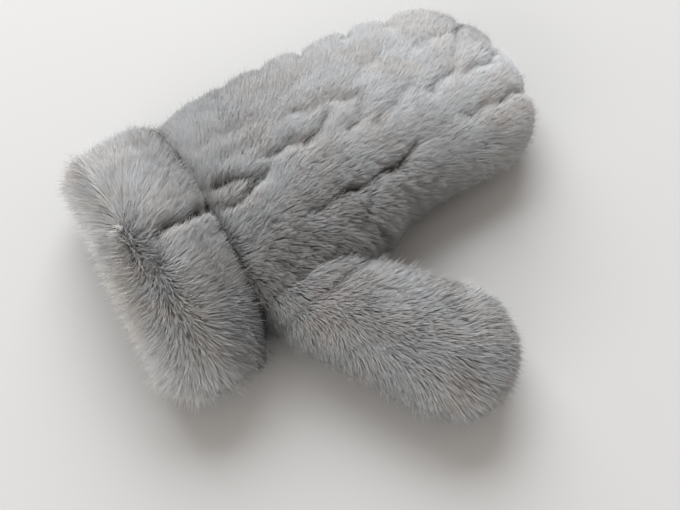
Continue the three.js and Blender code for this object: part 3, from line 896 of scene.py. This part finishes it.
# The thumb's fibres are coloured darker than the hand's, though it is the same pile: painted shade
thumb_plush = fibres("thumb plush", "6e6a67", "9a9da0", "9a9795", 38)
thumb_fine = along_form(THUMB_FINE_ROWS, THUMB_PILE_FROM, THUMB_TIP_FROM, THUMB_LENGTH)
root, bare_normal, normal, crease = rooted(THUMB, thumb_fine, THUMB_FINE_COLUMNS, THUMB_STRANDS, seed=21)
thumb_rows = [row["across"] for row in THUMB_HEADINGS]
thumb_ways = [row["way"] for row in THUMB_HEADINGS]
heading = np.interp(root[:, 1], thumb_rows, thumb_ways) + math.degrees(THUMB_ANGLE)
root = in_thumb(root)
bare_normal = bare_normal @ THUMB_TURN
normal = normal @ THUMB_TURN
in_hand = within(grown(hand_outer(root[:, 0]), -ROOTS_BELOW), root[:, 1], root[:, 2])
keep = ~in_hand & (root[:, 0] > 1)
root, bare_normal, normal, crease, heading = [
    part[keep] for part in (root, bare_normal, normal, crease, heading)
]
leant = unit(mixed(bare_normal, normal, LEANT_BY_FOLDS))
thumb_fibre = THUMB_FIBRE * (1 - SHORTER_IN_CREASE * crease)
reach, width, tone = combed(root, leant, heading, THUMB_LEAN, thumb_fibre, THUMB_PULL, seed=22)
shaded = unit(mixed(bare_normal, normal, SHADED_BY_FOLDS))
thumb_pile = pile("thumb_pile", root, reach, shaded, width, tone, crease_shading(root, crease))
thumb_pile.data.materials.append(thumb_plush)

# The cuff's backing
# A band of the same plush sewn round the wrist and turned in at its mouth, which stays open for the hand.
# A parting across its back divides it into two soft blocks.
RIM_ROUNDING = 14
CUFF_ROWS = 34
CUFF_FOLDS = [
    # The parting between the two blocks of the cuff's back, and the rim band beside the nearer one
    {"from": (2, -6), "to": (-12, -7), "depth": 10, "reach": 11},
    {"from": (-12, -7), "to": (-23, -8.5), "depth": 10, "reach": 11},
    {"from": (-23, -8.5), "to": (-31.5, -10), "depth": 9.5, "reach": 11},
    {"from": (-31.5, -10), "to": (-36, -22), "depth": 5, "reach": 11},
    {"from": (-36, -22), "to": (-38, -84), "depth": 3, "reach": 11},
    {"from": (-10, 46), "to": (-34, 54), "depth": 3, "reach": 12},
]


def cuff_outer(at):
    full = section_at(CUFF_SECTIONS, at)
    from_seam = seam_swelling(-at)
    from_rim = swelling(at + CUFF_LENGTH, RIM_ROUNDING)
    seamed = mixed(grown(hand_hollow(at * 0), BACKING), full, from_seam)
    rimmed = mixed(grown(mouth_hollow(at), BACKING), full, from_rim)
    return np.where(from_seam < from_rim, seamed, rimmed)


def along_cuff(rows):
    """Places along the cuff, closer together towards its mouth and its seam."""
    share = np.linspace(0, 1, rows)
    return mixed(-CUFF_LENGTH, -SEAM_GAP / 2, (share + (1 - np.cos(share * math.pi)) / 2) / 2)


CUFF = {"outer": cuff_outer, "folds": CUFF_FOLDS}
cuff_backing = moulded("cuff_backing", skin(CUFF, along_cuff(CUFF_ROWS), BACKING_COLUMNS, ROOTS_BELOW)[0])
cut_away(cuff_backing, hollow)
finish_backing(cuff_backing, "cuff_back", "cuff_palm")

# The cuff's pile
# The longest and loosest pile on the mitten. It meets the hand at the seam on one side, and on the other it
# turns over the mouth and stands out round it.
CUFF_STRANDS = 49500
CUFF_FINE_ROWS = 90
CUFF_LEAN = 42
CUFF_LEAST_SETTLED = 0.75
CUFF_FIBRE = 9
CUFF_PULL = 0.2
SHORTER_IN_CUFF_CREASE = 0.5
CUFF_SEAM_CREASE_AND_SHADE = 0.35
# Painted light and shade added to the cuff fibres' tone
SHADE_PAINTED_BY_CUFF_SEAM = 2.8
LIGHT_PAINTED_ON_CROWN = 1.2
LIGHT_PAINTED_ON_RIM = 0.4
SHADE_PAINTED_ON_CUFF_FAR_SIDE = 1
SHADE_PAINTED_ON_CUFF_NEAR_SIDE = 0.7
LIGHT_PAINTED_ON_NEAR_RIM = 0.9
# How the cuff is brushed: mostly towards the hand, and standing out round its mouth. Its rows lie at a skew
CUFF_SKEW = 0.25
CUFF_PLACES = {"mouth": -50, "shoulder": -44, "edge": -36, "middle": -28, "seam": 0}
CUFF_HEADINGS = [
    {"across": -84, "mouth": 235, "shoulder": 250, "edge": 258, "middle": 276, "seam": 290},
    {"across": -60, "mouth": 225, "shoulder": 245, "edge": 264, "middle": 300, "seam": 328},
    {"across": -35, "mouth": 215, "shoulder": 240, "edge": 272, "middle": 345, "seam": 16},
    {"across": -17, "mouth": 212, "shoulder": 242, "edge": 280, "middle": 8, "seam": 26},
    {"across": -7, "mouth": 210, "shoulder": 245, "edge": 286, "middle": -14, "seam": -4},
    {"across": 1, "mouth": 205, "shoulder": 252, "edge": 305, "middle": 20, "seam": 20},
    {"across": 13, "mouth": 190, "shoulder": 225, "edge": 345, "middle": 14, "seam": 10},
    {"across": 25, "mouth": 168, "shoulder": 120, "edge": 50, "middle": 24, "seam": 14},
    {"across": 56, "mouth": 140, "shoulder": 98, "edge": 80, "middle": 52, "seam": 20},
    {"across": 82, "mouth": 115, "shoulder": 98, "edge": 92, "middle": 80, "seam": 35},
]
# The cuff's fibres are coloured darker than the hand's, though it is the same plush: painted shade
cuff_plush = fibres("cuff plush", "6f6c69", "929497", "92908e", 42)
cuff_fine = along_cuff(CUFF_FINE_ROWS)
root, bare_normal, normal, crease = rooted(CUFF, cuff_fine, FINE_COLUMNS, CUFF_STRANDS, seed=31)
along = root[:, 0]
across = root[:, 1]
heading, settled = brushed(CUFF_HEADINGS, CUFF_PLACES, along, across - CUFF_SKEW * along)
leant = unit(mixed(bare_normal, normal, LEANT_BY_FOLDS))
beside_seam = easing(along, -SEAM_ROUNDING, 0)
# Beside the seam the pile is shorter and darkened by painted shade
seam_crease_and_shade = CUFF_SEAM_CREASE_AND_SHADE * beside_seam * np.interp(across, [15, 50], [1, 0.1])
line = np.maximum(crease_shading(root, crease), seam_crease_and_shade)
crease = np.maximum(crease, seam_crease_and_shade)
loose = np.interp(along, [-48, -40, -34], [3.5, 3, 1])
cuff_lean = CUFF_LEAN * np.maximum(settled, CUFF_LEAST_SETTLED)
cuff_lean *= np.interp(along, [-50, -44, -38, -28, -20], [0.35, 0.9, 1.3, 1.25, 1])
cuff_fibre = CUFF_FIBRE * np.interp(along, [-50, -40, -6, 0], [1.1, 1.15, 1, 0.95])
cuff_fibre *= (0.5 + 0.5 * settled) * (1 - SHORTER_IN_CUFF_CREASE * crease)
reach, width, tone = combed(root, leant, heading, cuff_lean, cuff_fibre, CUFF_PULL, seed=32, loose=loose)
# Painted light and shade in the tone: paler where the pile parts at the crown and round the rim, darker by
# the seam and over both sides, paler low on the near side and beside the near rim
tone += LIGHT_PAINTED_ON_CROWN * (1 - settled)
tone += LIGHT_PAINTED_ON_RIM * np.interp(along, [-50, -42, -30, -20], [0.4, 1, 1, 0])
tone -= SHADE_PAINTED_BY_CUFF_SEAM * easing(along, -26, 0)
tone -= SHADE_PAINTED_ON_CUFF_NEAR_SIDE * np.interp(across, [-85, -66, -45, -10], [-1.4, 0.5, 1, 0])
near_rim = np.interp(along, [-38, -24], [1, 0]) * np.interp(across, [-70, -50, -10], [0.6, 1, 0])
tone += LIGHT_PAINTED_ON_NEAR_RIM * near_rim
tone -= SHADE_PAINTED_ON_CUFF_FAR_SIDE * easing(across, 5, 50) * np.interp(along, [-32, -20], [0, 1])
shaded = unit(mixed(bare_normal, normal, SHADED_BY_FOLDS) + beside_seam[:, None] * [0, 0, 1])
cuff_pile = pile("cuff_pile", root, reach, shaded, width, tone, line)
cuff_pile.data.materials.append(cuff_plush)

for used_up in (hollow, thumb_bore, hand_block):
    bpy.data.objects.remove(used_up)

# The floor and the light
# A plain pale surface, lit softly from beyond the far side as by one large window, with a pale wall
# behind the cuff.
FLOOR_HALF = 6
floor_form = bmesh.new()
bmesh.ops.create_grid(floor_form, x_segments=1, y_segments=1, size=FLOOR_HALF)
floor_mesh = bpy.data.meshes.new("floor")
floor_form.to_mesh(floor_mesh)
floor_form.free()
floor = bpy.data.objects.new("floor", floor_mesh)
bpy.context.scene.collection.objects.link(floor)
pale = bpy.data.materials.new("pale floor")
pale.use_nodes = True
pale.node_tree.nodes["Principled BSDF"].inputs["Base Color"].default_value = colour("ababab")
pale.node_tree.nodes["Principled BSDF"].inputs["Roughness"].default_value = 0.9
floor_mesh.materials.append(pale)
LIT_PLACE = Vector((-0.02, 0, 0.02))


def soft_light(name, width, height, power, tint, place):
    """A large soft light that faces the middle of the mitten."""
    data = bpy.data.lights.new(name, "AREA")
    data.shape = "RECTANGLE"
    data.size = width
    data.size_y = height
    data.energy = power
    data.color = tint
    light = bpy.data.objects.new(name, data)
    light.location = place
    light.rotation_euler = (LIT_PLACE - light.location).to_track_quat("-Z", "Y").to_euler()
    bpy.context.scene.collection.objects.link(light)


soft_light("window", width=3.0, height=2.4, power=190, tint=(0.96, 0.98, 1.0), place=(0.65, 2.22, 1.75))
soft_light("pale_wall", width=2.4, height=1.6, power=75, tint=(1.0, 0.97, 0.93), place=(-2.5, -0.9, 0.6))

room = bpy.data.worlds.new("room")
room.use_nodes = True
room.node_tree.nodes["Background"].inputs["Color"].default_value = (1.0, 0.94, 0.88, 1)
room.node_tree.nodes["Background"].inputs["Strength"].default_value = 0.62
bpy.context.scene.world = room
bpy.context.scene.view_settings.view_transform = "Standard"
